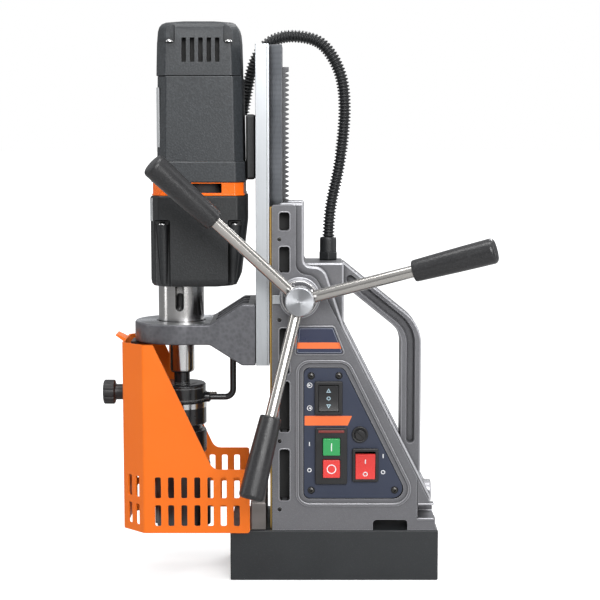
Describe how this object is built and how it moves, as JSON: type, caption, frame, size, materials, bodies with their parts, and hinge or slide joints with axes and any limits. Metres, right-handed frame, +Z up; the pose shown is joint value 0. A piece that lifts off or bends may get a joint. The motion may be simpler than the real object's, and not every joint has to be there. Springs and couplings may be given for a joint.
{
  "type": "magnetic drill press",
  "caption": "Portable magnetic drill press: electromagnet foot, cast frame with carry handle, dovetail slide with motor and annular cutter, feed arms, and an orange guard.",
  "frame": {"origin": "middle of the magnet's underside, on the work surface", "axes": "+Z up, +X from the cutter towards the carry handle, -Y the control side"},
  "size_m": [0.3786, 0.19, 0.545],
  "materials": {
    "cast": "metallic grey satin paint on casting",
    "charcoal": "grained black glass-filled nylon",
    "magnet": "charcoal satin paint",
    "orange": "orange powder coat",
    "orange_plastic": "glossy orange moulding",
    "aluminium": "milled",
    "steel": "turned and brushed",
    "dark_steel": "blackened",
    "brass": "drawn",
    "copper": "enamelled copper wire",
    "rubber": "satin black",
    "plastic": "satin black",
    "navy": "navy satin print",
    "green": "satin green",
    "red": "satin red",
    "board": "solder mask",
    "glass": "clear",
    "resin": "cast epoxy"
  },
  "bodies": {
    "frame": {"magnet_core": "magnet", "magnet_coil": "copper", "magnet_resin": "resin", "frame_casting": "cast", "wear_strip_front": "brass", "wear_strip_rear": "brass", "stop_block": "steel", "control_panel": "navy", "nameplate": "navy", "panel_screw_1": "dark_steel", "panel_screw_2": "dark_steel", "panel_screw_3": "dark_steel", "panel_screw_4": "dark_steel", "direction_switch_housing": "plastic", "motor_switch_housing": "plastic", "magnet_switch_housing": "plastic", "fuse_holder": "plastic", "circuit_board": "board", "conduit_gland": "plastic", "pinion_bush_front": "steel", "pinion_bush_rear": "brass"},
    "direction_key": {"direction_rocker": "plastic"},
    "start_key": {"start_button": "green"},
    "stop_key": {"stop_button": "red"},
    "magnet_key": {"magnet_rocker": "red"},
    "fuse_carrier": {"fuse_cap": "plastic", "fuse": "glass"},
    "feed": {"pinion_shaft": "steel", "feed_hub": "steel", "feed_arm_1": "steel", "feed_arm_2": "steel", "feed_arm_3": "steel", "feed_grip_1": "rubber", "feed_grip_2": "rubber", "feed_grip_3": "rubber"},
    "slide": {"slide_plate": "aluminium", "rack": "dark_steel", "spindle_arm": "cast", "motor_bracket": "charcoal", "gearbox_housing": "charcoal", "baffle_ring": "orange_plastic", "motor_collar": "charcoal", "motor_housing": "charcoal", "motor_cap": "charcoal", "stator": "dark_steel", "gearbox_neck": "steel", "coolant_ring": "plastic", "coolant_rod": "dark_steel", "guard_bracket": "dark_steel", "conduit": "rubber"},
    "guard_shield": {"guard": "orange"},
    "guard_clamp": {"guard_knob": "rubber"},
    "spindle_group": {"spindle": "steel", "spindle_gear": "steel", "arbor": "dark_steel", "cutter": "steel"},
    "release_sleeve": {"release_collar": "dark_steel"},
    "pilot": {"pilot_pin": "steel"},
    "counter_gears": {"countershaft": "steel"},
    "rotor": {"armature": "copper"}
  },
  "joints": [
    {"name": "slide_feed", "type": "slide", "parent": "frame", "child": "slide", "axis": [0, 0, 1], "range_m": [-0.122, 0.03], "deforming": ["conduit"]},
    {"name": "feed_turn", "type": "hinge", "parent": "frame", "child": "feed", "pos_m": [-0.034, 0, 0.2795], "axis": [0, 1, 0], "range_deg": [-584, 145]},
    {"name": "spindle_spin", "type": "hinge", "parent": "slide", "child": "spindle_group", "pos_m": [-0.152, 0, 0.2], "axis": [0, 0, 1], "continuous": true},
    {"name": "counter_spin", "type": "hinge", "parent": "slide", "child": "counter_gears", "pos_m": [-0.13302, 0.0199, 0.32], "axis": [0, 0, 1], "continuous": true},
    {"name": "armature_spin", "type": "hinge", "parent": "slide", "child": "rotor", "pos_m": [-0.131, 0, 0.4], "axis": [0, 0, 1], "continuous": true},
    {"name": "collar_release", "type": "slide", "parent": "spindle_group", "child": "release_sleeve", "axis": [0, 0, 1], "range_m": [0, 0.005]},
    {"name": "pilot_slide", "type": "slide", "parent": "spindle_group", "child": "pilot", "axis": [0, 0, 1], "range_m": [0, 0.02]},
    {"name": "guard_drop", "type": "slide", "parent": "slide", "child": "guard_shield", "axis": [0, 0, -1], "range_m": [-0.11, 0]},
    {"name": "guard_knob_turn", "type": "hinge", "parent": "slide", "child": "guard_clamp", "pos_m": [-0.22, 0, 0.1794], "axis": [-1, 0, 0], "range_deg": [0, 360]},
    {"name": "direction_switch", "type": "hinge", "parent": "frame", "child": "direction_key", "pos_m": [-0.0058, -0.0475, 0.1816], "axis": [1, 0, 0], "range_deg": [-9, 9]},
    {"name": "magnet_switch", "type": "hinge", "parent": "frame", "child": "magnet_key", "pos_m": [0.03015, -0.0475, 0.1154], "axis": [-1, 0, 0], "range_deg": [0, 14]},
    {"name": "start_press", "type": "slide", "parent": "frame", "child": "start_key", "axis": [0, 1, 0], "range_m": [0, 0.0025]},
    {"name": "stop_press", "type": "slide", "parent": "frame", "child": "stop_key", "axis": [0, 1, 0], "range_m": [0, 0.0025]},
    {"name": "fuse_cap_turn", "type": "hinge", "parent": "frame", "child": "fuse_carrier", "pos_m": [0.0249, -0.05, 0.1456], "axis": [0, -1, 0], "range_deg": [-90, 0]}
  ],
  "couplings": [
    {"joint": "feed_turn", "follows": "slide_feed", "rad_per_m": 83.333},
    {"joint": "counter_spin", "follows": "spindle_spin", "ratio": -2.6667},
    {"joint": "armature_spin", "follows": "spindle_spin", "ratio": 8}
  ]
}
